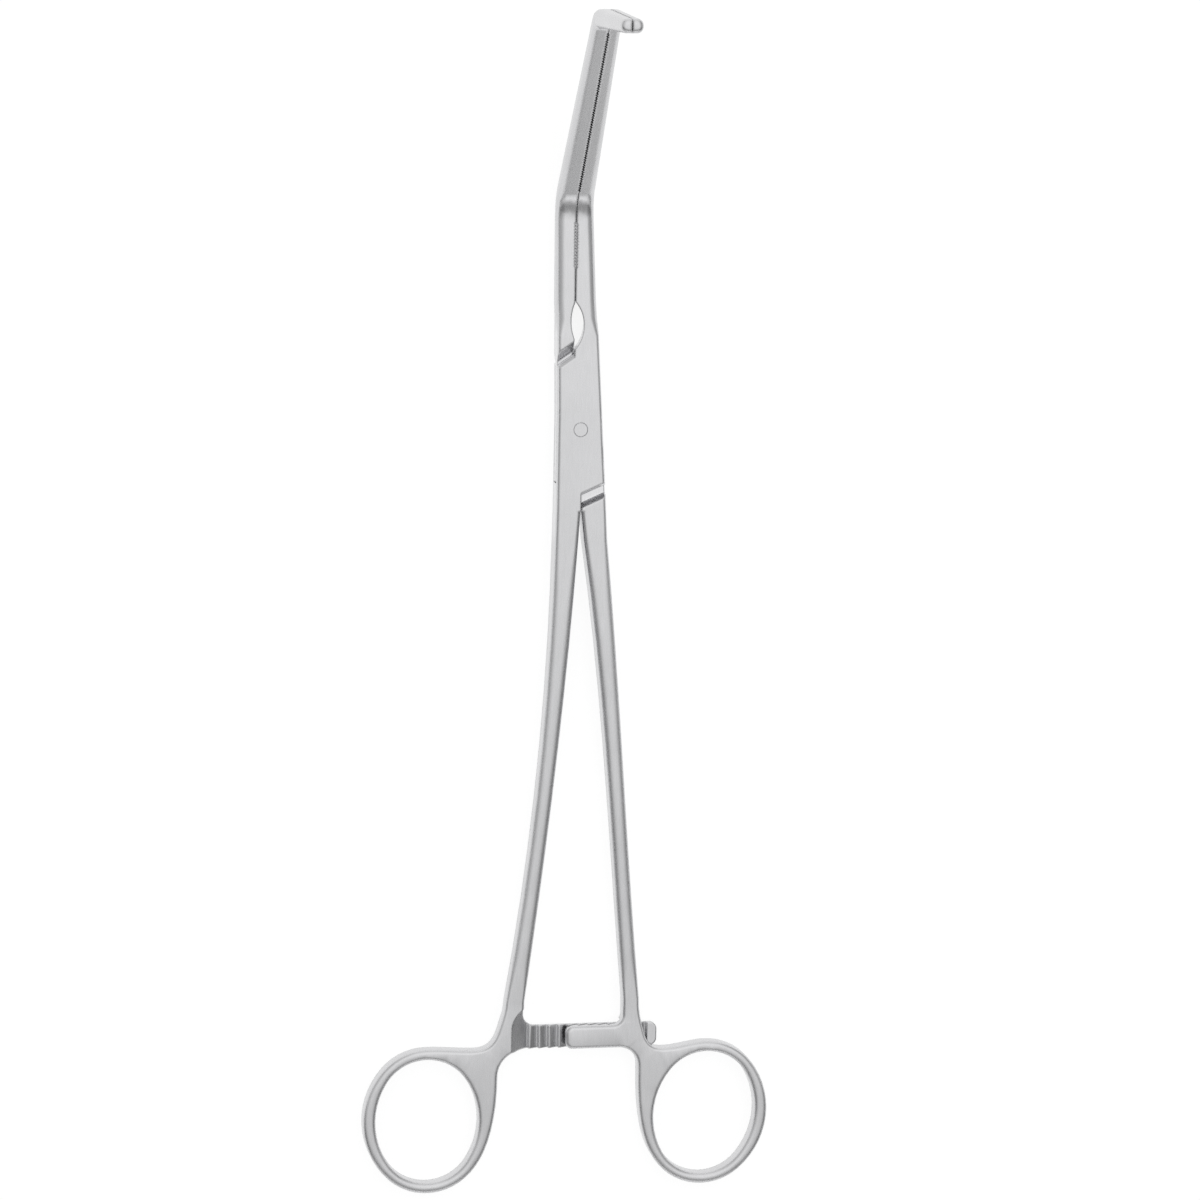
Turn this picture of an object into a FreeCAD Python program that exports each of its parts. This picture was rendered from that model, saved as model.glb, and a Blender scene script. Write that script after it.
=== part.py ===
import FreeCAD, Part
import Sketcher
import math
import os

# Tangential occlusion clamp: a box lock forceps 265 mm long, lying on its back.
# X runs across the clamp, +Y along the shanks towards the tips, +Z out of the front face.
# The origin is where the pin's axis meets the flat back of the box lock.
# The box half is the left ring, left shank, box and right jaw.
# The male half is the right ring, right shank, tongue and left jaw.

# Driving dimensions in millimetres and degrees: alias, value, what it is
SIZES = [
    ("box_thickness", 5.8, "thickness of the box lock, back to front"),
    ("box_edge_radius", 0.8, "rounding of the long edges of the box"),
    ("box_foot_y", -18.0, "where the shanks start"),
    ("box_waist_y", 3.0, "middle station of the box's left side"),
    ("box_head_y", 20.5, "where the jaws start"),
    ("box_foot_left_x", -5.02, "left side of the box at its foot"),
    ("box_waist_left_x", -5.0, "left side of the box at its waist"),
    ("box_head_left_x", -5.33, "left side of the box at its head"),
    ("box_foot_right_x", 6.1, "right side of the box at its foot"),
    ("box_head_right_x", 3.73, "right side of the box at its head"),
    ("cheek_low_right_y", -12.0, "lower end of the cheeks, at the right side"),
    ("cheek_low_left_y", -14.6, "lower end of the cheeks, at the crotch"),
    ("cheek_high_left_y", 13.8, "upper end of the cheeks, at the left side"),
    ("cheek_high_right_y", 16.4, "upper end of the cheeks, at the jaw"),
    ("cheek_bevel", 0.6, "bevel along the slanted ends of the cheeks"),
    ("low_shoulder_gap", 1.7, "groove between the cheeks' lower end and the shoulder of the right shank"),
    ("low_shoulder_run", 0.9, "length of the sloping wall of the lower shoulder"),
    ("high_shoulder_gap", 0.6, "groove between the cheeks' upper end and the shoulder of the left jaw"),
    ("high_shoulder_run", 2.0, "length of the sloping wall of the upper shoulder"),
    ("crotch_x", 0.35, "side of the left shank below the box"),
    ("tongue_thickness", 2.1, "thickness of the tongue inside the box"),
    ("low_web_y", -12.0, "top of the web of the box between its cheeks, at the left side"),
    ("high_web_y", 12.0, "foot of the web of the box between its cheeks, at the right side"),
    ("lock_clearance", 0.15, "gap between the tongue and each cheek"),
    ("web_clearance", 0.25, "gap between the tongue and the webs of the box"),
    ("pin_radius", 1.6, "radius of the joint pin"),
    ("pin_clearance", 0.04, "running clearance of the pin in the tongue"),
    ("pin_chamfer", 0.15, "chamfer at the ends of the pin"),
    ("shank_top_y", -24.5, "first of the four even stations of the shanks"),
    ("shank_foot_y", -128.5, "last of the four even stations of the shanks, above the ratchet"),
    ("box_shank_top_x", -2.55, "middle of the left shank at its first station"),
    ("box_shank_upper_x", -4.44, "middle of the left shank at its second station"),
    ("box_shank_lower_x", -7.7, "middle of the left shank at its third station"),
    ("box_shank_foot_x", -12.27, "middle of the left shank above the ratchet"),
    ("male_shank_top_x", 3.9, "middle of the right shank at its first station"),
    ("male_shank_upper_x", 7.82, "middle of the right shank at its second station"),
    ("male_shank_lower_x", 10.91, "middle of the right shank at its third station"),
    ("male_shank_foot_x", 14.02, "middle of the right shank above the ratchet"),
    ("shank_top_width", 5.2, "width of a shank at its first station"),
    ("shank_upper_width", 3.99, "width of a shank at its second station"),
    ("shank_lower_width", 3.6, "width of a shank at its third station"),
    ("box_shank_foot_width", 4.3, "width of the left shank above the ratchet"),
    ("male_shank_foot_width", 3.7, "width of the right shank above the ratchet"),
    ("shank_edge_radius", 1.0, "rounding of the shank edges"),
    ("handle_thickness", 4.0, "thickness of the rings and the ratchet, back to front"),
    ("handle_edge_radius", 0.85, "round that the bevels of the ring and ratchet edges stand for"),
    ("box_ring_x", 31.65, "middle of the left finger ring, from the clamp's axis"),
    ("male_ring_x", 31.35, "middle of the right finger ring, from the clamp's axis"),
    ("ring_centre_y", -155.3, "middle of a finger ring, along the clamp"),
    ("ring_hole_half_width", 11.6, "half the width of a finger hole"),
    ("ring_hole_half_height", 14.2, "half the height of a finger hole"),
    ("ring_side_wire", 2.8, "width of the ring's wire at its sides"),
    ("ring_end_wire", 2.3, "width of the ring's wire at its top and bottom"),
    ("ring_roundness", 0.9, "radius of the ends of a ring, as a share of half its width"),
    ("box_ring_tilt", 3.0, "how far the top of the left ring leans outwards"),
    ("male_ring_tilt", 5.0, "how far the top of the right ring leans outwards"),
    ("neck_lean", 1.1, "how far a shank moves outwards between its foot and the ring"),
    ("box_neck_radius", 5.6, "hollow where the left ring meets the outside of its shank"),
    ("male_neck_radius", 4.6, "hollow where the right ring meets the outside of its shank"),
    ("box_neck_drop", 0.5, "drop of the left hollow below the top of the ring"),
    ("male_neck_drop", 1.2, "drop of the right hollow below the top of the ring"),
    ("bar_top_y", -134.4, "upper side of the ratchet bars"),
    ("bar_height", 5.2, "width of the ratchet bars, along the clamp"),
    ("box_bar_top_radius", 2.8, "hollow above the left ratchet bar"),
    ("male_bar_top_radius", 2.2, "hollow above the right ratchet bar"),
    ("box_bar_foot_radius", 5.8, "hollow below the left ratchet bar"),
    ("male_bar_foot_radius", 4.4, "hollow below the right ratchet bar"),
    ("web_inner_x", 15.9, "inner side of the web between ratchet and ring"),
    ("box_bar_end_x", 20.3, "free end of the left ratchet bar"),
    ("male_bar_end_x", -0.6, "free end of the right ratchet bar"),
    ("bar_end_radius", 1.5, "rounding of the corners at the free end of a bar"),
    ("ratchet_gap", 0.16, "gap between the tooth tips of the two bars"),
    ("tooth_pitch", 2.24, "spacing of the ratchet teeth"),
    ("tooth_height", 0.8, "height of the ratchet teeth"),
    ("tooth_land", 0.4, "flat on top of a ratchet tooth"),
    ("tooth_back", 0.25, "lean of the steep side of a ratchet tooth"),
    ("box_tooth_x", -8.7, "first crest of the left bar"),
    ("box_teeth", 13, "number of teeth on the left bar"),
    ("male_tooth_x", 8.9, "first crest of the right bar"),
    ("male_teeth", 5, "number of teeth on the right bar"),
    ("box_ramp_x", -13.0, "where the left shank's front ramps down to the ratchet"),
    ("male_ramp_x", 10.2, "where the teeth of the right bar start"),
    ("ramp_top_y", -128.9, "upper end of the cut that clears the ratchet"),
    ("ramp_radius", 6.5, "corner of the cut that clears the ratchet"),
    ("relief_margin", 0.5, "room round the left bar where it passes behind the right shank"),
    ("jaw_middle_y", 28.0, "second section of the jaws"),
    ("bend_y", 49.8, "corner of the first bend, on the jaws' middle line"),
    ("bend_radius", 11.2, "radius of the first bend, on the middle line"),
    ("bend_angle", 40.3, "angle of the first bend, out of the front"),
    ("arm_length", 53.3, "length of the slanted jaw arm, corner to corner"),
    ("corner_radius", 3.4, "radius of the second bend, on the middle line"),
    ("tip_angle", 91.0, "angle of the tips to the shanks"),
    ("tip_length", 25.7, "length of the tips from the second bend's corner"),
    ("jaw_middle_x", -1.28, "middle of the pair of jaws at the second section"),
    ("jaw_bend_x", -1.87, "middle of the pair of jaws at the first bend"),
    ("jaw_corner_x", -1.95, "middle of the pair of jaws at the second bend"),
    ("jaw_tip_x", -1.62, "middle of the pair of jaws at the tips"),
    ("jaw_middle_width", 8.9, "width of the pair of jaws at the second section"),
    ("jaw_bend_width", 8.2, "width of the pair of jaws at the first bend"),
    ("jaw_corner_width", 5.85, "width of the pair of jaws at the second bend"),
    ("jaw_tip_width", 4.75, "width of the pair of jaws at the tips"),
    ("jaw_bend_thickness", 4.5, "thickness of the jaws at the first bend"),
    ("jaw_corner_thickness", 4.0, "thickness of the jaws at the second bend"),
    ("jaw_tip_thickness", 2.95, "thickness of the jaws at the tips"),
    ("jaw_edge_radius", 1.9, "rounding of the outer jaw edges"),
    ("jaw_tip_edge_radius", 1.35, "rounding of the outer jaw edges at the tips"),
    ("tip_end_radius", 0.9, "rounding of the ends of the tips"),
    ("seam_x", -1.65, "plane where the jaws meet"),
    ("jaw_gap", 0.2, "gap between the closed jaws"),
    ("lens_right_foot_y", 17.4, "lower end of the lens-shaped opening, in the right jaw"),
    ("lens_left_foot_y", 19.6, "lower end of the lens-shaped opening, in the left jaw"),
    ("lens_head_y", 27.9, "upper end of the lens-shaped opening"),
    ("lens_right", 1.95, "depth of the opening into the right jaw, from the seam"),
    ("lens_left", 0.85, "depth of the opening into the left jaw, from the seam"),
    ("lens_flare", 0.9, "how much further the opening reaches into the right jaw at the back"),
    ("serration_start_y", 35.0, "where the serrations of the jaws start"),
    ("serration_pitch", 0.7, "spacing of the serrations"),
    ("serration_depth", 0.3, "depth of the serrations"),
    ("serration_land", 0.12, "flat left between two serrations"),
    ("serration_margin", 0.4, "smooth stretch left beside each bend and at the tips"),
]

# How far a cutting shape reaches past the metal, and a reach longer than the clamp
OVERRUN = 10.0
FAR = 200.0
# Sections through each bend of the jaws
BEND_STEPS = 6
# Straight stretches that a curved shank is made of
SHANK_STEPS = 9
# Turn from one of the three bevels of a handle edge to the next
BEVEL_TURN = math.radians(22.5)
# Lengths below this count as none
NEAR = 1e-3


def make_sheet(document):
    """The spreadsheet with every driving dimension."""
    sheet = document.addObject("Spreadsheet::Sheet", "sizes")
    for row, (alias, value, note) in enumerate(SIZES, start=1):
        sheet.set(f"A{row}", alias)
        sheet.set(f"B{row}", str(value))
        sheet.set(f"C{row}", note)
        sheet.setAlias(f"B{row}", alias)
    document.recompute()
    return sheet


def point(x, y, z=0.0):
    return FreeCAD.Vector(x, y, z)


def line(start, end):
    return Part.LineSegment(start, end).toShape()


def arc(start, middle, end):
    return Part.Arc(start, middle, end).toShape()


def spline(points, start_direction=None, end_direction=None):
    """A smooth curve through the points, with its end directions if they are given."""
    curve = Part.BSplineCurve()
    if start_direction is None:
        curve.interpolate(points)
    else:
        curve.interpolate(Points=points, InitialTangent=start_direction, FinalTangent=end_direction)
    return curve.toShape()


def quarter(corner, start, end):
    """The round between two sides that meet square at the corner."""
    centre = start + end - corner
    middle = centre + (corner - centre) * math.sqrt(0.5)
    return arc(start, middle, end)


def plate(edges, bottom, top):
    """The solid between two heights inside a closed outline."""
    face = Part.Face(Part.Wire(Part.__sortEdges__(edges)))
    face.translate(point(0, 0, bottom))
    return face.extrude(point(0, 0, top - bottom))


def polygon_plate(corners, bottom, top):
    """The solid between two heights inside a polygon."""
    face = Part.Face(Part.makePolygon([point(x, y) for x, y in corners + corners[:1]]))
    face.translate(point(0, 0, bottom))
    return face.extrude(point(0, 0, top - bottom))


def rectangle_plate(left, right, low, high):
    """A rectangle in plan that goes through the whole clamp, tips included."""
    corners = [(left, low), (right, low), (right, high), (left, high)]
    return polygon_plate(corners, -OVERRUN, FAR)


def beyond(start, end, away):
    """Everything past the line through two points, towards a direction."""
    along = (end - start).normalize() * FAR
    corners = [start - along, start + along, start + along + away * FAR, start - along + away * FAR]
    return polygon_plate([(corner.x, corner.y) for corner in corners], -OVERRUN, FAR)


def rounded_section(width, thickness, radius, placement):
    """A rectangle with round corners, centred on the placement's XY plane."""
    half_w = width / 2
    half_t = thickness / 2
    edges = []
    corners = [(half_w, half_t), (-half_w, half_t), (-half_w, -half_t), (half_w, -half_t)]
    for index, (x, y) in enumerate(corners):
        centre = point(x - math.copysign(radius, x), y - math.copysign(radius, y))
        turns = [math.radians(90 * index + turn) for turn in (0, 45, 90)]
        on_arc = [centre + point(math.cos(turn), math.sin(turn)) * radius for turn in turns]
        edges.append(arc(*on_arc))
        next_x, next_y = corners[(index + 1) % 4]
        if index % 2 == 0:
            following = point(next_x - math.copysign(radius, next_x), y)
        else:
            following = point(x, next_y - math.copysign(radius, next_y))
        edges.append(line(on_arc[2], following))
    wire = Part.Wire(edges)
    wire.Placement = placement
    return wire


def corner_section(width, thickness, radius, placement, bevelled):
    """Like a rounded section, but each corner is in three parts: arcs of the round or its bevels."""
    corners = []
    for turn, x_side, y_side in ((0, 1, 1), (90, -1, 1), (180, -1, -1), (270, 1, -1)):
        centre = point(x_side * (width / 2 - radius), y_side * (thickness / 2 - radius))
        if bevelled:
            turns = [math.radians(turn) + BEVEL_TURN * (step + 0.5) for step in range(4)]
            reach = radius / math.cos(BEVEL_TURN / 2)
        else:
            turns = [math.radians(turn + 30 * step) for step in range(4)]
            reach = radius
        corners.append([(centre, reach, turn) for turn in turns])

    def at(item):
        centre, reach, turn = item
        return centre + point(math.cos(turn), math.sin(turn)) * reach

    edges = []
    for index, items in enumerate(corners):
        for start, end in zip(items, items[1:]):
            if bevelled:
                edges.append(line(at(start), at(end)))
            else:
                middle = (start[0], start[1], (start[2] + end[2]) / 2)
                edges.append(arc(at(start), at(middle), at(end)))
        edges.append(line(at(items[-1]), at(corners[(index + 1) % 4][0])))
    wire = Part.Wire(edges)
    wire.Placement = placement
    return wire


def level_edges(solid, below_y):
    """The edges of a plate that lie level, except those on its joint with the shank."""
    return [edge for edge in solid.Edges
            if edge.BoundBox.ZLength < NEAR and edge.BoundBox.YMin < below_y - NEAR]


def bevel_edges(solid, radius, below_y):
    """Three bevels along every level edge, which together stand for a round of that radius."""
    middle_bevel = radius * (2 - math.sqrt(2))
    side_bevel = radius * (1 - math.tan(BEVEL_TURN / 2)) - middle_bevel
    solid = solid.makeChamfer(middle_bevel, level_edges(solid, below_y))
    return solid.makeChamfer(side_bevel, level_edges(solid, below_y))


def across(x, y, z, angle=0.0):
    """A placement for a section across the clamp where its path rises at an angle."""
    return FreeCAD.Placement(point(x, y, z), FreeCAD.Rotation(point(1, 0, 0), 90 + angle))


def between(start, end, share):
    return start + (end - start) * share


def right_side(size, y):
    """The right side of the box at a height along the clamp."""
    share = (y - size["box_foot_y"]) / (size["box_head_y"] - size["box_foot_y"])
    return between(size["box_foot_right_x"], size["box_head_right_x"], share)


def lock_block(size):
    """The closed lock as one block, before the two halves are cut from it."""
    foot = size["box_foot_y"]
    head = size["box_head_y"]
    waist = size["box_waist_y"]
    stations = [
        (foot, size["box_foot_left_x"], size["box_foot_right_x"]),
        (waist, size["box_waist_left_x"], right_side(size, waist)),
        (head, size["box_head_left_x"], size["box_head_right_x"]),
    ]
    thickness = size["box_thickness"]
    sections = []
    for y, left, right in stations:
        placement = across((left + right) / 2, y, thickness / 2)
        sections.append(rounded_section(right - left, thickness, size["box_edge_radius"], placement))
    return Part.makeLoft(sections, True, True)


def jaw_distances(size):
    """Distances along the corners of the jaws' middle line: each bend's start, corner and end, and the tips."""
    bend_reach = size["bend_radius"] * math.tan(math.radians(size["bend_angle"] / 2))
    turn_reach = size["corner_radius"] * math.tan(math.radians((size["tip_angle"] - size["bend_angle"]) / 2))
    first = size["bend_y"] - size["box_head_y"]
    second = first + size["arm_length"]
    last = second + size["tip_length"]
    return (first - bend_reach, first, first + bend_reach), (second - turn_reach, second, second + turn_reach), last


def on_jaw_path(size, distance):
    """Y, Z and angle of the jaws' rounded middle line at a distance along its corners."""
    bend, turn, _ = jaw_distances(size)
    y = size["box_head_y"]
    z = size["box_thickness"] / 2
    done = 0.0
    angle = 0.0
    turns = [(bend, size["bend_radius"], 0.0, size["bend_angle"]),
             (turn, size["corner_radius"], size["bend_angle"], size["tip_angle"])]
    for (start, corner, end), radius, angle_in, angle_out in turns:
        if distance <= start:
            break
        heading = math.radians(angle_in)
        if distance < end:
            angle = between(angle_in, angle_out, (distance - start) / (end - start))
            turned = math.radians(angle)
            y += (start - done) * math.cos(heading) + radius * (math.sin(turned) - math.sin(heading))
            z += (start - done) * math.sin(heading) + radius * (math.cos(heading) - math.cos(turned))
            return y, z, angle
        y += (corner - done) * math.cos(heading)
        z += (corner - done) * math.sin(heading)
        done = corner
        angle = angle_out
    heading = math.radians(angle)
    return y + (distance - done) * math.cos(heading), z + (distance - done) * math.sin(heading), angle


def value_at(distance, known):
    """The value at a distance, from pairs of distance and value."""
    for (start, start_value), (end, end_value) in zip(known, known[1:]):
        if distance <= end:
            return between(start_value, end_value, (distance - start) / (end - start))
    return known[-1][1]


def jaw_pieces(size):
    """The closed pair of jaws along their twice-bent middle line, piece by piece."""
    bend, turn, last = jaw_distances(size)
    first = bend[1]
    second = turn[1]
    middle = size["jaw_middle_y"] - size["box_head_y"]
    head_left = size["box_head_left_x"]
    head_right = size["box_head_right_x"]
    edge = size["jaw_edge_radius"]
    tip_edge = size["jaw_tip_edge_radius"]

    # distance along the corners of the path, then the value there
    middles = [(0.0, (head_left + head_right) / 2), (middle, size["jaw_middle_x"]),
               (first, size["jaw_bend_x"]), (second, size["jaw_corner_x"]), (last, size["jaw_tip_x"])]
    widths = [(0.0, head_right - head_left), (middle, size["jaw_middle_width"]),
              (first, size["jaw_bend_width"]), (second, size["jaw_corner_width"]),
              (last, size["jaw_tip_width"])]
    thicknesses = [(0.0, size["box_thickness"]), (first, size["jaw_bend_thickness"]),
                   (second, size["jaw_corner_thickness"]), (last, size["jaw_tip_thickness"])]
    radii = [(0.0, size["box_edge_radius"]), (middle / 2, edge), (first, edge), (second, tip_edge),
             (last, tip_edge)]

    def section_at(distance):
        y, z, angle = on_jaw_path(size, distance)
        x, width, thickness, radius = (value_at(distance, known)
                                       for known in (middles, widths, thicknesses, radii))
        return rounded_section(width, thickness, radius, across(x, y, z, angle))

    straights = [(0.0, middle / 2), (middle / 2, middle), (middle, bend[0]), (bend[2], turn[0]), (turn[2], last)]
    pieces = [Part.makeLoft([section_at(start), section_at(end)], True, True) for start, end in straights]
    for start, end in ((bend[0], bend[2]), (turn[0], turn[2])):
        steps = [section_at(between(start, end, step / BEND_STEPS)) for step in range(BEND_STEPS + 1)]
        pieces.append(Part.makeLoft(steps, True, False))
    return pieces


def serration_cuts(size, side):
    """Saw-toothed solids, one for each straight stretch, that groove the meeting face of one jaw."""
    bend, turn, last = jaw_distances(size)
    margin = size["serration_margin"]
    pitch = size["serration_pitch"]
    depth = size["serration_depth"]
    land = size["serration_land"]
    outside = depth * land / (pitch - land)
    half = size["box_thickness"] / 2
    if side == "box":
        away = 1
        shift = 0.0
    else:
        away = -1
        shift = pitch / 2
    face_x = size["seam_x"] + away * size["jaw_gap"] / 2
    ridge_x = face_x - away * outside
    root_x = face_x + away * depth
    back_x = face_x - away
    stretches = [(size["serration_start_y"] - size["box_head_y"], bend[0] - margin),
                 (bend[2] + margin, turn[0] - margin),
                 (turn[2] + margin, last - margin - size["tip_end_radius"])]
    cuts = []
    for start, end in stretches:
        y, z, angle = on_jaw_path(size, start)
        count = int((end - start - shift) / pitch)
        corners = [(back_x, shift), (ridge_x, shift)]
        for number in range(count):
            along = shift + number * pitch
            corners += [(root_x, along + pitch / 2), (ridge_x, along + pitch)]
        corners.append((back_x, shift + count * pitch))
        outline = Part.makePolygon([point(x, along, -half) for x, along in corners + corners[:1]])
        comb = Part.Face(outline).extrude(point(0, 0, 2 * half))
        comb.Placement = FreeCAD.Placement(point(0, y, z), FreeCAD.Rotation(point(1, 0, 0), angle))
        cuts.append(comb)
    return cuts


def closed_pair(size):
    """The lock block and both jaws in one piece."""
    jaws = lock_block(size).fuse(jaw_pieces(size))
    highest = jaws.BoundBox.ZMax
    rims = [edge for edge in jaws.Edges if edge.BoundBox.ZMin > highest - 1]
    return jaws.makeFillet(size["tip_end_radius"], rims)


def lens(size, foot_y, depth, flare=0.0):
    """The part of the lens-shaped opening on one side of the seam, drawn on the front face."""
    front = size["box_thickness"]
    lean = flare / front
    seam = size["seam_x"]
    foot = point(seam, foot_y)
    head = point(seam, size["lens_head_y"])
    middle = point(seam + depth, (foot_y + size["lens_head_y"]) / 2)
    face = Part.Face(Part.Wire(Part.__sortEdges__([arc(foot, middle, head), line(head, foot)])))
    face.translate(point(-lean * OVERRUN, 0, front + OVERRUN))
    height = front + 2 * OVERRUN
    return face.extrude(point(lean * height, 0, -height))


def cheek_ends(size):
    """The lines of the two slanted ends of the cheeks, each from left to right."""
    low_left = point(size["crotch_x"], size["cheek_low_left_y"])
    low_right = point(size["box_foot_right_x"], size["cheek_low_right_y"])
    high_left = point(size["box_head_left_x"], size["cheek_high_left_y"])
    high_right = point(size["seam_x"] + size["jaw_gap"] / 2, size["cheek_high_right_y"])
    return (low_left, low_right), (high_left, high_right)


def square_to(start, end):
    """The direction at right angles to a line, on its left."""
    along = (end - start).normalize()
    return point(-along.y, along.x)


def end_prism(size, start, end, away, side, profile):
    """A prism along a slanted end; its profile holds distances from the end and from mid thickness."""
    half_box = size["box_thickness"] / 2
    along = (end - start).normalize()
    corners = []
    for distance, height in profile + profile[:1]:
        corner = start - along * OVERRUN + away * distance
        corner.z = half_box + side * height
        corners.append(corner)
    length = (end - start).Length + 2 * OVERRUN
    return Part.Face(Part.makePolygon(corners)).extrude(along * length)


def box_lock(size, pair):
    """The box and the right jaw, before the slot and the pin hole are machined."""
    low, high = cheek_ends(size)
    low_away = square_to(low[1], low[0])
    high_away = square_to(high[0], high[1])
    low_side = rectangle_plate(size["crotch_x"], FAR, -FAR, 0)
    high_side = rectangle_plate(-FAR, high[1].x, 0, FAR)
    half_box = size["box_thickness"] / 2
    bevel = size["cheek_bevel"]
    profile = [(1, half_box - bevel - 1), (1, half_box + 1), (-bevel - 1, half_box + 1)]
    cuts = [
        beyond(low[0], low[1], low_away).common(low_side),
        beyond(high[0], high[1], high_away).common(high_side),
        lens(size, size["lens_right_foot_y"], size["lens_right"]),
        lens(size, size["lens_right_foot_y"], size["lens_right"], size["lens_flare"]),
    ] + serration_cuts(size, "box")
    for side in (1, -1):
        cuts.append(end_prism(size, low[0], low[1], low_away, side, profile).common(low_side))
        cuts.append(end_prism(size, high[0], high[1], high_away, side, profile).common(high_side))
    return pair.cut(cuts)


def web_lines(size, gap):
    """The two lines, each from left to right, between the tongue and the webs of the box."""
    low, high = cheek_ends(size)
    left_foot = point(size["box_waist_left_x"], size["low_web_y"])
    right_head = point(right_side(size, size["high_web_y"]), size["high_web_y"])
    low_up = square_to(left_foot, low[0])
    high_up = square_to(high[1], right_head)
    low_start = left_foot + low_up * gap
    low_end = low[0] + low_up * gap
    high_start = high[1] - high_up * gap
    high_end = right_head - high_up * gap
    outwards = (low_end - low_start).normalize() * OVERRUN
    inwards = (high_end - high_start).normalize() * OVERRUN
    return (low_start - outwards, low_end), (high_start, high_end + inwards)


def slot(size):
    """What is milled through the box between its cheeks for the tongue."""
    low, high = web_lines(size, 0.0)
    far_left = low[0].x
    far_right = high[1].x
    corners = [(low[0].x, low[0].y), (low[1].x, low[1].y), (far_right, low[1].y),
               (high[1].x, high[1].y), (high[0].x, high[0].y), (far_left, high[0].y)]
    half_slot = size["tongue_thickness"] / 2 + size["lock_clearance"]
    middle_z = size["box_thickness"] / 2
    return polygon_plate(corners, middle_z - half_slot, middle_z + half_slot)


def groove_profile(size, end):
    """What is milled off one face of the tongue, up to the sloping wall of the low or high shoulder."""
    half_tongue = size["tongue_thickness"] / 2
    half_box = size["box_thickness"] / 2
    gap = size[end + "_shoulder_gap"]
    run = size[end + "_shoulder_run"]
    steepness = run / (half_box - half_tongue)
    reach = (size["cheek_high_right_y"] - size["cheek_low_left_y"]) / 2
    return [(gap, half_tongue), (gap + run + steepness, half_box + 1), (-reach, half_box + 1),
            (-reach, half_tongue)]


def male_lock(size, pair):
    """The tongue with its shoulders and the left jaw."""
    low, high = cheek_ends(size)
    low_away = square_to(low[1], low[0])
    high_away = square_to(high[0], high[1])
    shank_x = size["crotch_x"] + size["web_clearance"]
    jaw_x = size["seam_x"] - size["jaw_gap"] / 2
    low_web, high_web = web_lines(size, size["web_clearance"])
    corners = [(low_web[0].x, low_web[0].y), (shank_x, low_web[1].y), (shank_x, -FAR),
               (high_web[1].x, -FAR), (high_web[1].x, high_web[1].y), (jaw_x, high_web[0].y),
               (jaw_x, FAR), (low_web[0].x, FAR)]
    region = polygon_plate(corners, -OVERRUN, FAR)
    cuts = [
        lens(size, size["lens_left_foot_y"], -size["lens_left"]),
    ] + serration_cuts(size, "male")
    for side in (1, -1):
        cuts.append(end_prism(size, low[0], low[1], low_away, side, groove_profile(size, "low")))
        cuts.append(end_prism(size, high[0], high[1], high_away, side, groove_profile(size, "high")))
    return pair.common(region).cut(cuts)


def through_four(values, share):
    """The cubic through four even values, at a share of the way from the first to the last."""
    result = 0.0
    for index, value in enumerate(values):
        weight = value
        for other in range(4):
            if other != index:
                weight *= (share * 3 - other) / (index - other)
        result += weight
    return result


def shank(size, side):
    """A tapered shank between the lock and the ratchet: its rounded length and the stretch that
    turns the rounds into the bevels of the handle."""
    middle_z = size["box_thickness"] / 2
    if side == "box":
        left = size["box_foot_left_x"]
        right = size["crotch_x"]
    else:
        left = size["crotch_x"] + size["web_clearance"]
        right = size["box_foot_right_x"]
    top_y = size["shank_top_y"]
    foot_y = size["shank_foot_y"]
    edge = size["shank_edge_radius"]
    first_edge = between(size["box_edge_radius"], edge, 0.5)
    root = rounded_section(right - left, size["box_thickness"], size["box_edge_radius"],
                           across((left + right) / 2, size["box_foot_y"], middle_z))
    middles = [size[side + "_shank_" + place + "_x"] for place in ("top", "upper", "lower", "foot")]
    widths = [size["shank_top_width"], size["shank_upper_width"], size["shank_lower_width"],
              size[side + "_shank_foot_width"]]
    edges = [first_edge, edge, edge, size["handle_edge_radius"]]
    length = size["box_foot_y"] - foot_y

    def station(step):
        share = step / SHANK_STEPS
        y = between(top_y, foot_y, share)
        thickness = between(size["box_thickness"], size["handle_thickness"], (size["box_foot_y"] - y) / length)
        return (through_four(widths, share), thickness, through_four(edges, share),
                across(through_four(middles, share), y, middle_z))

    round_part = [root] + [rounded_section(*station(step)) for step in range(SHANK_STEPS)]
    last_stretch = [corner_section(*station(SHANK_STEPS - 1), False),
                    corner_section(*station(SHANK_STEPS), True)]
    return [Part.makeLoft(round_part, True, True), Part.makeLoft(last_stretch, True, True)]


def oval(centre, half_width, half_height, roundness, tilt, start, stop):
    """Four tangent arcs of an upright oval, leant to the right, between two directions of its normal."""
    end_radius = half_width * roundness
    end_y = half_height - end_radius
    side_radius = (half_width ** 2 + end_y ** 2 - end_radius ** 2) / (2 * (half_width - end_radius))
    side_x = side_radius - half_width
    turn = math.degrees(math.atan2(end_y, side_x))
    arcs = [
        (0, end_y, end_radius, turn, 180 - turn),
        (side_x, 0, side_radius, 180 - turn, 180 + turn),
        (0, -end_y, end_radius, 180 + turn, 360 - turn),
        (-side_x, 0, side_radius, 360 - turn, 360 + turn),
        (0, end_y, end_radius, 360 + turn, 540 - turn),
    ]
    edges = []
    for x, y, radius, low, high in arcs:
        first = max(low, start)
        last = min(high, stop)
        if last > first:
            circle = Part.Circle(point(x, y), point(0, 0, 1), radius)
            edge = Part.ArcOfCircle(circle, math.radians(first), math.radians(last)).toShape()
            edge.rotate(point(0, 0), point(0, 0, 1), -tilt)
            edge.translate(centre)
            edges.append(edge)
    return edges


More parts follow.
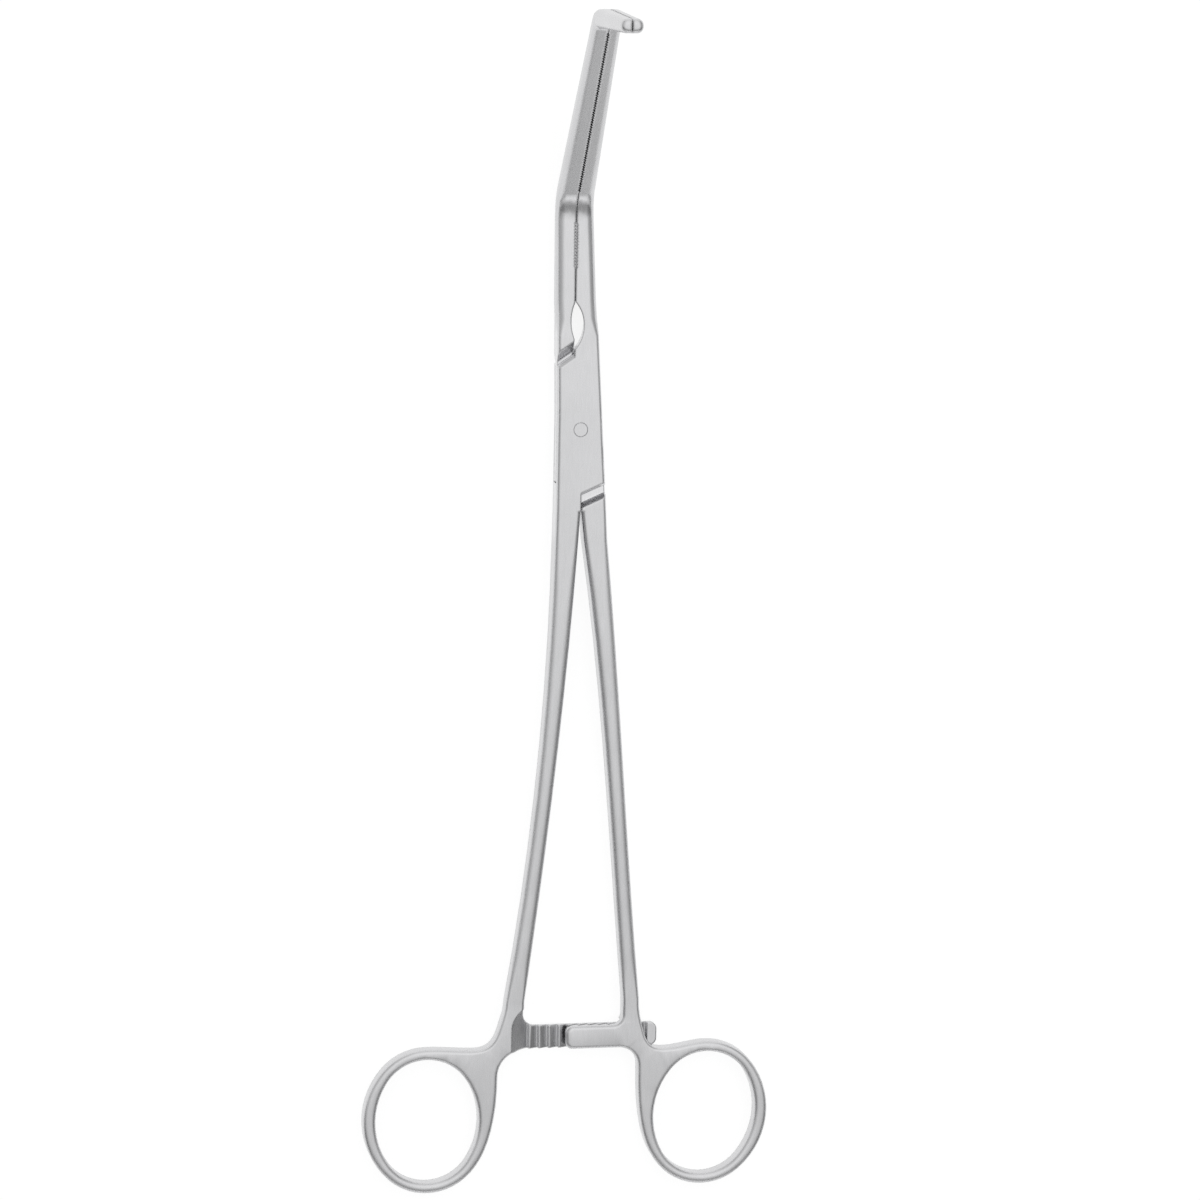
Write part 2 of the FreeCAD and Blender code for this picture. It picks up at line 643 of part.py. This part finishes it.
def handle(size, side):
    """Ratchet bar, web and finger ring in one plate with bevelled edges, drawn right-handed."""
    sign = -1 if side == "box" else 1
    foot_x = sign * size[side + "_shank_foot_x"]
    foot_width = size[side + "_shank_foot_width"]
    inner_x = foot_x - foot_width / 2
    outer_x = foot_x + foot_width / 2
    neck_x = outer_x + size["neck_lean"]
    bar_end = sign * size[side + "_bar_end_x"]
    top_y = size["bar_top_y"]
    low_y = top_y - size["bar_height"]
    foot_y = size["shank_foot_y"]
    top_r = size[side + "_bar_top_radius"]
    low_r = size[side + "_bar_foot_radius"]
    neck_r = size[side + "_neck_radius"]
    end_r = size["bar_end_radius"]
    web_x = size["web_inner_x"]
    tilt = size[side + "_ring_tilt"]
    roundness = size["ring_roundness"]
    centre = point(size[side + "_ring_x"], size["ring_centre_y"])
    hole_width = size["ring_hole_half_width"]
    hole_height = size["ring_hole_half_height"]
    ring = oval(centre, hole_width + size["ring_side_wire"], hole_height + size["ring_end_wire"],
                roundness, tilt, 205, 450)
    ring_start = ring[0].valueAt(ring[0].FirstParameter)
    ring_start_way = ring[0].tangentAt(ring[0].FirstParameter)
    ring_top = ring[-1].valueAt(ring[-1].LastParameter)
    ring_top_way = ring[-1].tangentAt(ring[-1].LastParameter)
    neck_y = ring_top.y - size[side + "_neck_drop"]
    neck = point(neck_x + neck_r, neck_y)

    edges = ring + [
        line(point(outer_x, foot_y), point(inner_x, foot_y)),
        line(point(inner_x, foot_y), point(inner_x, top_y + top_r)),
        quarter(point(inner_x, top_y), point(inner_x, top_y + top_r), point(inner_x - top_r, top_y)),
        line(point(inner_x - top_r, top_y), point(bar_end + end_r, top_y)),
        quarter(point(bar_end, top_y), point(bar_end + end_r, top_y), point(bar_end, top_y - end_r)),
        line(point(bar_end, top_y - end_r), point(bar_end, low_y + end_r)),
        quarter(point(bar_end, low_y), point(bar_end, low_y + end_r), point(bar_end + end_r, low_y)),
        line(point(bar_end + end_r, low_y), point(web_x - low_r, low_y)),
        quarter(point(web_x, low_y), point(web_x - low_r, low_y), point(web_x, low_y - low_r)),
        spline([point(web_x, low_y - low_r), ring_start], point(0, -1), ring_start_way),
        spline([ring_top, neck], ring_top_way, point(-1, 0)),
        spline([neck, point(neck_x, neck_y + neck_r), point(outer_x, foot_y)], point(-1, 0), point(0, 1)),
    ]
    bottom = (size["box_thickness"] - size["handle_thickness"]) / 2
    top = bottom + size["handle_thickness"]
    hole = oval(centre, hole_width, hole_height, roundness, tilt, 90, 450)
    blank = plate(edges, bottom, top).cut(plate(hole, bottom - 1, top + 1))
    blank = bevel_edges(blank, size["handle_edge_radius"], foot_y)
    if side == "box":
        blank = blank.mirror(point(0, 0), point(1, 0, 0))
    return blank


def tooth_profile(size, ramp_x, ramp_height, crest, count, end):
    """Outline above a row of teeth with steep left sides; heights are from the ratchet's middle plane."""
    tip = -size["ratchet_gap"] / 2
    root = tip - size["tooth_height"]
    corners = [(ramp_x, OVERRUN), (ramp_x, ramp_height)]
    for number in range(count):
        x = crest + number * size["tooth_pitch"]
        corners += [(x - size["tooth_back"], root), (x, tip), (x + size["tooth_land"], tip)]
    return corners + [(end, tip), (end, OVERRUN)]


def ratchet_cut(size, side):
    """What is milled off a bar to leave its teeth."""
    middle_z = size["box_thickness"] / 2
    low_y = size["bar_top_y"] - size["bar_height"] - 1
    top_y = size["ramp_top_y"]
    if side == "box":
        sign = 1
        end = size["box_bar_end_x"] + OVERRUN
        profile = tooth_profile(size, size["box_ramp_x"], size["handle_thickness"] / 2,
                                size["box_tooth_x"], int(size["box_teeth"]), end)
    else:
        sign = -1
        end = OVERRUN - size["male_bar_end_x"]
        profile = tooth_profile(size, -size["male_ramp_x"], -size["ratchet_gap"] / 2,
                                -size["male_tooth_x"], int(size["male_teeth"]), end)
    corners = [point(sign * x, low_y, middle_z + sign * height) for x, height in profile + profile[:1]]
    teeth = Part.Face(Part.makePolygon(corners)).extrude(point(0, top_y - low_y, 0))
    if side == "male":
        return teeth
    left = size["box_ramp_x"]
    radius = size["ramp_radius"]
    outline = [
        line(point(left, low_y), point(end, low_y)),
        line(point(end, low_y), point(end, top_y)),
        line(point(end, top_y), point(left + radius, top_y)),
        quarter(point(left, top_y), point(left + radius, top_y), point(left, top_y - radius)),
        line(point(left, top_y - radius), point(left, low_y)),
    ]
    return teeth.common(plate(outline, -OVERRUN, OVERRUN))


def add_shape(document, name, shape):
    """A plain feature for a shape that no primitive or sketch gives."""
    feature = document.addObject("Part::Feature", name)
    feature.Shape = shape
    feature.Placement = FreeCAD.Placement()
    return feature


def add_primitive(document, kind, name, expressions):
    """A box or cylinder whose sizes and place come from the spreadsheet."""
    primitive = document.addObject(kind, name)
    for target, text in expressions.items():
        primitive.setExpression(target, text)
    return primitive


def add_relief(document):
    """The ring-shaped pocket behind the right shank where the left bar passes."""
    ceiling = "(sizes.box_thickness + sizes.ratchet_gap) / 2"
    inner_radius = "(-sizes.bar_top_y - sizes.relief_margin)"
    bar_corner_x = "(sizes.box_bar_end_x - sizes.bar_end_radius)"
    bar_corner_y = "(sizes.bar_height - sizes.bar_top_y)"
    outer_radius = f"(sqrt({bar_corner_x} ^ 2 + {bar_corner_y} ^ 2) + sizes.relief_margin)"
    outer = add_primitive(document, "Part::Cylinder", "relief_outer", {
        "Radius": outer_radius, "Height": ceiling})
    inner = add_primitive(document, "Part::Cylinder", "relief_inner", {
        "Radius": inner_radius, "Height": ceiling})
    sector = add_primitive(document, "Part::Box", "relief_sector", {
        "Length": "60", "Width": "100", "Height": ceiling,
        "Placement.Base.x": "sizes.male_ramp_x - sizes.tooth_pitch",
        "Placement.Base.y": "-200"})
    annulus = document.addObject("Part::Cut", "relief_annulus")
    annulus.Base = outer
    annulus.Tool = inner
    relief = document.addObject("Part::Common", "relief")
    relief.Base = annulus
    relief.Tool = sector
    return relief


def add_half(document, name, forging, cuts):
    """A half of the clamp: its forging less everything that is machined away."""
    tools = document.addObject("Part::MultiFuse", name + "_cuts")
    tools.Shapes = cuts
    half = document.addObject("Part::Cut", name)
    half.Base = forging
    half.Tool = tools
    half.Label = name
    return half


def add_pin(document):
    """The joint pin, ground flush with both faces of the box."""
    body = document.addObject("PartDesign::Body", "joint_pin")
    body.Label = "joint_pin"
    plane = [item for item in body.Origin.OriginFeatures if item.Role == "XY_Plane"][0]
    sketch = body.newObject("Sketcher::SketchObject", "pin_section")
    sketch.AttachmentSupport = [(plane, "")]
    sketch.MapMode = "FlatFace"
    sketch.addGeometry(Part.Circle(point(0, 0), point(0, 0, 1), 1.0), False)
    sketch.addConstraint(Sketcher.Constraint("Coincident", 0, 3, -1, 1))
    sketch.addConstraint(Sketcher.Constraint("Radius", 0, 1.0))
    sketch.setExpression("Constraints[1]", "sizes.pin_radius")
    pad = body.newObject("PartDesign::Pad", "pin_pad")
    pad.Profile = sketch
    pad.setExpression("Length", "sizes.box_thickness")
    document.recompute()
    ends = [f"Edge{number}" for number, edge in enumerate(pad.Shape.Edges, start=1)
            if edge.BoundBox.ZLength < 1e-6]
    chamfer = body.newObject("PartDesign::Chamfer", "pin_ends")
    chamfer.Base = (pad, ends)
    chamfer.setExpression("Size", "sizes.pin_chamfer")
    return body


def main():
    os.makedirs("parts", exist_ok=True)
    document = FreeCAD.newDocument("clamp")
    sheet = make_sheet(document)
    size = {alias: float(sheet.get(alias)) for alias, _, _ in SIZES}
    pair = closed_pair(size)

    box_shape = box_lock(size, pair).fuse(shank(size, "box") + [handle(size, "box")])
    box_forging = add_shape(document, "box_forging", box_shape)
    male_shape = male_lock(size, pair).fuse(shank(size, "male") + [handle(size, "male")])
    male_forging = add_shape(document, "male_forging", male_shape)

    pressed_bore = add_primitive(document, "Part::Cylinder", "pressed_bore", {
        "Radius": "sizes.pin_radius", "Height": "sizes.box_thickness"})
    running_bore = add_primitive(document, "Part::Cylinder", "running_bore", {
        "Radius": "sizes.pin_radius + sizes.pin_clearance", "Height": "sizes.box_thickness"})
    box_half = add_half(document, "box_half", box_forging, [
        add_shape(document, "slot", slot(size)),
        pressed_bore,
        add_shape(document, "box_ratchet_cut", ratchet_cut(size, "box")),
    ])
    male_half = add_half(document, "male_half", male_forging, [
        running_bore,
        add_shape(document, "male_ratchet_cut", ratchet_cut(size, "male")),
        add_relief(document),
    ])
    joint_pin = add_pin(document)
    document.recompute()

    for item in document.Objects:
        if "Invalid" in item.State or "Error" in item.State:
            raise RuntimeError(f"{item.Name} did not compute: {item.State}")
    for node in (box_half, male_half, joint_pin):
        if node.Shape.isNull() or not node.Shape.isValid():
            raise RuntimeError(f"{node.Label} has no valid shape")
        print(node.Label, round(node.Shape.Volume, 2), len(node.Shape.Solids), node.Shape.BoundBox)
        node.Shape.exportStep(os.path.join("parts", node.Label + ".step"))


main()
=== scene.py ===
import math

import bpy
from mathutils import Matrix, Vector


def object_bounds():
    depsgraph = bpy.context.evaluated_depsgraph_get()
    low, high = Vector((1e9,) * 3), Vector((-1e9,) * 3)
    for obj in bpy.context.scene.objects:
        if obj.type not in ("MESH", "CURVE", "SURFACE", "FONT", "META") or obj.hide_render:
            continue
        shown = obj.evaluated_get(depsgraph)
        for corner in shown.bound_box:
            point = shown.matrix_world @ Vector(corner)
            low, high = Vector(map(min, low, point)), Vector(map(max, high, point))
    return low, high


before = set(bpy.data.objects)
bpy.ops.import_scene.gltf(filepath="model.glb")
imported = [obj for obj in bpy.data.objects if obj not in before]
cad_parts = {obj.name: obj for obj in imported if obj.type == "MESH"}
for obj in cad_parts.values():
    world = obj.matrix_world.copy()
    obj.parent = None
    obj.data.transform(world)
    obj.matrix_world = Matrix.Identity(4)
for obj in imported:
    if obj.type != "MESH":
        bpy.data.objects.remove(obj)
cad_low, cad_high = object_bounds()

# The hinge's axis crosses the middle plane of the box lock here
PIVOT = Vector((0.0, 0.0, 0.0029))


# Node helpers

def new_material(name):
    """A material with an empty node tree, and its tree."""
    material = bpy.data.materials.new(name)
    material.use_nodes = True
    material.node_tree.nodes.clear()
    return material, material.node_tree


def add_node(tree, kind, **values):
    """A node of that kind, with its properties or sockets set by name."""
    node = tree.nodes.new(kind)
    for key, value in values.items():
        if key in node.inputs:
            node.inputs[key].default_value = value
        else:
            setattr(node, key, value)
    return node


def set_input(node, name, value):
    """Sets one socket by its full name."""
    node.inputs[name].default_value = value


def arithmetic(tree, operation, first, second=None, third=None):
    """A maths node fed with sockets or numbers."""
    node = add_node(tree, "ShaderNodeMath", operation=operation)
    for index, value in enumerate((first, second, third)):
        if value is None:
            continue
        if isinstance(value, (int, float)):
            node.inputs[index].default_value = value
        else:
            tree.links.new(value, node.inputs[index])
    return node.outputs["Value"]


def smooth_curve(tree, socket, stops):
    """A smooth curve over a socket, through pairs of position and value."""
    low = stops[0][0]
    high = stops[-1][0]
    share = add_node(tree, "ShaderNodeMapRange")
    set_input(share, "From Min", low)
    set_input(share, "From Max", high)
    tree.links.new(socket, share.inputs["Value"])
    ramp = add_node(tree, "ShaderNodeValToRGB")
    ramp.color_ramp.interpolation = "EASE"
    elements = ramp.color_ramp.elements
    elements.remove(elements[-1])
    elements[0].position = 0.0
    elements[0].color = (stops[0][1], stops[0][1], stops[0][1], 1.0)
    for position, value in stops[1:]:
        elements.new((position - low) / (high - low)).color = (value, value, value, 1.0)
    tree.links.new(share.outputs["Result"], ramp.inputs["Fac"])
    return ramp.outputs["Color"]


# Edges: the bevels shade as one curve with the faces beside them, and real corners stay crisp

CORNER = math.radians(30.0)
TOUCHING = 1e-6


def joined_facets():
    """Joins the facets' shared corners and shades all but the sharp edges smooth."""
    tree = bpy.data.node_groups.new("joined_facets", "GeometryNodeTree")
    tree.interface.new_socket("Geometry", in_out="INPUT", socket_type="NodeSocketGeometry")
    tree.interface.new_socket("Geometry", in_out="OUTPUT", socket_type="NodeSocketGeometry")
    start = add_node(tree, "NodeGroupInput")
    merge = add_node(tree, "GeometryNodeMergeByDistance", Distance=TOUCHING)
    plain = add_node(tree, "GeometryNodeRemoveAttribute", Name="custom_normal")
    faces = add_node(tree, "GeometryNodeSetShadeSmooth")
    edges = add_node(tree, "GeometryNodeSetShadeSmooth", domain="EDGE")
    set_input(edges, "Shade Smooth", False)
    end = add_node(tree, "NodeGroupOutput")
    chain = (start, merge, plain, faces, edges, end)
    for before, after in zip(chain, chain[1:]):
        tree.links.new(before.outputs["Geometry"], after.inputs["Geometry"])
    angle = add_node(tree, "GeometryNodeInputMeshEdgeAngle")
    sharp = add_node(tree, "FunctionNodeCompare", operation="GREATER_THAN")
    set_input(sharp, "B", CORNER)
    tree.links.new(angle.outputs["Unsigned Angle"], sharp.inputs["A"])
    tree.links.new(sharp.outputs["Result"], edges.inputs["Selection"])
    return tree


def soften(piece, joined):
    """Smooth shading for a steel piece, held flat on its large faces."""
    piece.modifiers.new("joined_facets", "NODES").node_group = joined
    weighted = piece.modifiers.new("flat_faces", "WEIGHTED_NORMAL")
    weighted.keep_sharp = True
    weighted.weight = 100


# Steel: one grey but for a lighter grey round the lock's middle plane, painted light on the tongue's
# running faces. The room makes the bands on it by reflection.

TINT = (0.985, 0.985, 1.0)
STEEL_GREY = 0.67
# Painted light in the lock: a lighter grey on the tongue's running faces and on all else near the middle
# plane there: share by depth from the middle plane and by place
MIDDLE_Z = PIVOT.z
GROOVE_PAINTED_LIGHT_GREY = 0.78
GROOVE_PAINTED_LIGHT_DEPTH = [(0.0, 1.0), (0.0013, 1.0), (0.0018, 0.0), (0.07, 0.0)]
GROOVE_PAINTED_LIGHT_PLACE = [(-0.172, 0.0), (-0.026, 0.0), (-0.022, 1.0), (0.020, 1.0), (0.024, 0.0), (0.093, 0.0)]
# Radius of the worn edges by place along the clamp. It is nothing beside the pin.
EDGE_RADII = [(-0.172, 0.0011), (-0.1445, 0.0011), (-0.141, 0.0005), (-0.128, 0.0005), (-0.118, 0.002),
              (-0.04, 0.002), (-0.018, 0.0005), (-0.006, 0.0004), (-0.004, 0.0), (0.004, 0.0),
              (0.006, 0.0004), (0.018, 0.0005), (0.026, 0.0006), (0.045, 0.0007), (0.056, 0.0005),
              (0.082, 0.0005), (0.093, 0.0009)]
EDGE_SAMPLES = 10
# Grain of the finish, per metre: fine across the clamp and long along it
GRAIN = (3600.0, 260.0, 3600.0)
GRAIN_DETAIL = 3.0
GRAIN_ROUGHNESS = (0.24, 0.30)
GRAIN_STRENGTH = 0.1
GRAIN_DEPTH = 0.00002
# Slow unevenness of the grey: patches per metre, and the spread of the share
PATCHES = 90.0
PATCH_DETAIL = 4.0
PATCH_SPREAD = (0.96, 1.02)
# Where most of the noise lies
NOISE_RANGE = (0.3, 0.7)
# Numbers of the colour sockets of a Mix node
COLOUR_A = 6
COLOUR_B = 7
COLOUR_RESULT = 2


def noise(tree, vector, scale, detail, spread_over):
    """Noise over a vector, spread between two values, and the noise itself."""
    pattern = add_node(tree, "ShaderNodeTexNoise")
    set_input(pattern, "Scale", scale)
    set_input(pattern, "Detail", detail)
    tree.links.new(vector, pattern.inputs["Vector"])
    spread = add_node(tree, "ShaderNodeMapRange")
    set_input(spread, "From Min", NOISE_RANGE[0])
    set_input(spread, "From Max", NOISE_RANGE[1])
    set_input(spread, "To Min", spread_over[0])
    set_input(spread, "To Max", spread_over[1])
    tree.links.new(pattern.outputs["Fac"], spread.inputs["Value"])
    return spread.outputs["Result"], pattern.outputs["Fac"]


def grey_mix(tree, factor, first, second):
    """A mix of two greys of the steel."""
    mix = add_node(tree, "ShaderNodeMix", data_type="RGBA")
    tree.links.new(factor, mix.inputs["Factor"])
    mix.inputs[COLOUR_A].default_value = [first * part for part in TINT] + [1.0]
    mix.inputs[COLOUR_B].default_value = [second * part for part in TINT] + [1.0]
    return mix.outputs[COLOUR_RESULT]


def steel(name):
    """Satin stainless steel with worn edges and a fine grain along the clamp."""
    material, tree = new_material(name)
    output = add_node(tree, "ShaderNodeOutputMaterial")
    shader = add_node(tree, "ShaderNodeBsdfPrincipled")
    set_input(shader, "Metallic", 1.0)
    place = add_node(tree, "ShaderNodeTexCoord")
    spot = add_node(tree, "ShaderNodeSeparateXYZ")
    tree.links.new(place.outputs["Object"], spot.inputs["Vector"])

    edge = add_node(tree, "ShaderNodeBevel", samples=EDGE_SAMPLES)
    tree.links.new(smooth_curve(tree, spot.outputs["Y"], EDGE_RADII), edge.inputs["Radius"])

    # Painted light: a lighter grey on everything within about 1.3 mm of the lock's middle plane,
    # recessed tongue faces and the middle of the lock's walls alike
    depth = arithmetic(tree, "ABSOLUTE", arithmetic(tree, "SUBTRACT", spot.outputs["Z"], MIDDLE_Z))
    groove_painted_light = arithmetic(tree, "MULTIPLY", smooth_curve(tree, depth, GROOVE_PAINTED_LIGHT_DEPTH),
                        smooth_curve(tree, spot.outputs["Y"], GROOVE_PAINTED_LIGHT_PLACE))
    grey_and_painted_light = grey_mix(tree, groove_painted_light, STEEL_GREY, GROOVE_PAINTED_LIGHT_GREY)
    uneven, _ = noise(tree, place.outputs["Object"], PATCHES, PATCH_DETAIL, PATCH_SPREAD)
    blend = add_node(tree, "ShaderNodeVectorMath", operation="SCALE")
    tree.links.new(grey_and_painted_light, blend.inputs["Vector"])
    tree.links.new(uneven, blend.inputs["Scale"])
    tree.links.new(blend.outputs["Vector"], shader.inputs["Base Color"])

    stretch = add_node(tree, "ShaderNodeMapping")
    set_input(stretch, "Scale", GRAIN)
    tree.links.new(place.outputs["Object"], stretch.inputs["Vector"])
    gloss, grain = noise(tree, stretch.outputs["Vector"], 1.0, GRAIN_DETAIL, GRAIN_ROUGHNESS)
    tree.links.new(gloss, shader.inputs["Roughness"])
    bump = add_node(tree, "ShaderNodeBump")
    set_input(bump, "Strength", GRAIN_STRENGTH)
    set_input(bump, "Distance", GRAIN_DEPTH)
    tree.links.new(grain, bump.inputs["Height"])
    tree.links.new(edge.outputs["Normal"], bump.inputs["Normal"])
    tree.links.new(bump.outputs["Normal"], shader.inputs["Normal"])

    tree.links.new(shader.outputs["BSDF"], output.inputs["Surface"])
    return material


def dress(piece, material):
    """Gives a piece one material."""
    piece.data.materials.clear()
    piece.data.materials.append(material)


half_steel = steel("half_steel")
pin_steel = steel("pin_steel")

dress(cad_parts["box_half"], half_steel)
dress(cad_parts["male_half"], half_steel)
dress(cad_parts["joint_pin"], pin_steel)

joined = joined_facets()
for half in ("box_half", "male_half"):
    soften(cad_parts[half], joined)


# Studio: brightness of the room by the angle from straight up, in degrees towards the rings

ROOM_ALONG = [(-100, 0.8), (-60, 1.0), (-20, 1.15), (2, 1.15), (11, 0.98), (15, 1.0), (24, 0.42),
              (46, 0.32), (53, 0.42), (60, 1.25), (71, 1.2), (79, 0.5), (100, 0.3)]
# The same from left to right, as a share of the brightness along the clamp
ROOM_ACROSS = [(-90, 0.62), (-45, 0.55), (-24, 0.75), (0, 1.0), (20, 1.0), (38, 0.52), (52, 0.42),
               (90, 0.45)]


def studio_world():
    """A pale room with soft boxes over and behind the clamp and darker stretches between them."""
    world = bpy.data.worlds.new("studio")
    bpy.context.scene.world = world
    world.use_nodes = True
    tree = world.node_tree
    tree.nodes.clear()
    output = add_node(tree, "ShaderNodeOutputWorld")
    direction = add_node(tree, "ShaderNodeTexCoord")
    parts = add_node(tree, "ShaderNodeSeparateXYZ")
    tree.links.new(direction.outputs["Generated"], parts.inputs["Vector"])
    towards_rings = arithmetic(tree, "MULTIPLY", parts.outputs["Y"], -1.0)
    height = arithmetic(tree, "MAXIMUM", parts.outputs["Z"], 0.0)
    lean = arithmetic(tree, "DEGREES", arithmetic(tree, "ARCTAN2", towards_rings, height))
    turn = arithmetic(tree, "DEGREES", arithmetic(tree, "ARCSINE", parts.outputs["X"]))
    along = smooth_curve(tree, lean, ROOM_ALONG)
    across = smooth_curve(tree, turn, ROOM_ACROSS)
    room = add_node(tree, "ShaderNodeBackground")
    set_input(room, "Color", (1.0, 1.0, 1.0, 1.0))
    tree.links.new(arithmetic(tree, "MULTIPLY", along, across), room.inputs["Strength"])
    tree.links.new(room.outputs["Background"], output.inputs["Surface"])


# Floor: a pale grey that is lifted to white where it is seen or mirrored, so its shadow stays faint

FLOOR_GREY = 0.25
FLOOR_LIFT = 0.85
FLOOR_SIZE = 60.0


def pale_floor(height):
    """A wide plain floor under the clamp. It shows white and keeps the clamp's shadow."""
    bpy.ops.mesh.primitive_plane_add(size=FLOOR_SIZE, location=(0.0, 0.0, height))
    floor = bpy.context.object
    floor.name = "floor"
    material, tree = new_material("pale_floor")
    output = add_node(tree, "ShaderNodeOutputMaterial")
    matt = add_node(tree, "ShaderNodeBsdfDiffuse")
    set_input(matt, "Color", (FLOOR_GREY, FLOOR_GREY, FLOOR_GREY, 1.0))
    rays = add_node(tree, "ShaderNodeLightPath")
    direct = arithmetic(tree, "MAXIMUM", rays.outputs["Is Camera Ray"], rays.outputs["Is Glossy Ray"])
    direct = arithmetic(tree, "MAXIMUM", direct, rays.outputs["Is Transmission Ray"])
    lift = add_node(tree, "ShaderNodeEmission")
    set_input(lift, "Color", (1.0, 1.0, 1.0, 1.0))
    tree.links.new(arithmetic(tree, "MULTIPLY", direct, FLOOR_LIFT), lift.inputs["Strength"])
    both = add_node(tree, "ShaderNodeAddShader")
    tree.links.new(matt.outputs["BSDF"], both.inputs[0])
    tree.links.new(lift.outputs["Emission"], both.inputs[1])
    tree.links.new(both.outputs["Shader"], output.inputs["Surface"])
    floor.data.materials.append(material)


UNDER_CLAMP = 0.00005
pale_floor(cad_low.z - UNDER_CLAMP)
studio_world()


# Camera: from above the tips' side and a little from the left, as in the photograph

PIXEL_MM = 0.2184
DISTANCE = 1.0
TURN = math.radians(11.0)
RISE = math.radians(9.7)
ROLL = math.radians(1.1)
PICTURE = 1200
PIVOT_PIXEL = (578.4, 428.0)
SENSOR_MM = 36.0
NEAR_CLIP = 0.01
FAR_CLIP = 100.0


def place_camera():
    """A long lens that puts the joint's axis on its pixel of the picture."""
    toward = Vector((-math.sin(TURN) * math.cos(RISE), math.sin(RISE), math.cos(TURN) * math.cos(RISE)))
    level = Vector((math.cos(TURN), 0.0, math.sin(TURN)))
    upright = Vector((math.sin(TURN) * math.sin(RISE), math.cos(RISE), -math.cos(TURN) * math.sin(RISE)))
    right = level * math.cos(ROLL) + upright * math.sin(ROLL)
    up = upright * math.cos(ROLL) - level * math.sin(ROLL)
    focal = DISTANCE / (PIXEL_MM / 1000.0)
    across = (PIVOT_PIXEL[0] - PICTURE / 2) / focal
    along = (PICTURE / 2 - PIVOT_PIXEL[1]) / focal
    centre = PIVOT - DISTANCE * (right * across + up * along - toward)

    data = bpy.data.cameras.new("camera")
    data.sensor_width = SENSOR_MM
    data.lens = SENSOR_MM * focal / PICTURE
    data.clip_start = NEAR_CLIP
    data.clip_end = FAR_CLIP
    camera = bpy.data.objects.new("camera", data)
    bpy.context.scene.collection.objects.link(camera)
    turn = Matrix((right, up, toward)).transposed().to_4x4()
    camera.matrix_world = Matrix.Translation(centre) @ turn
    bpy.context.scene.camera = camera


place_camera()
bpy.context.scene.view_settings.view_transform = "Standard"
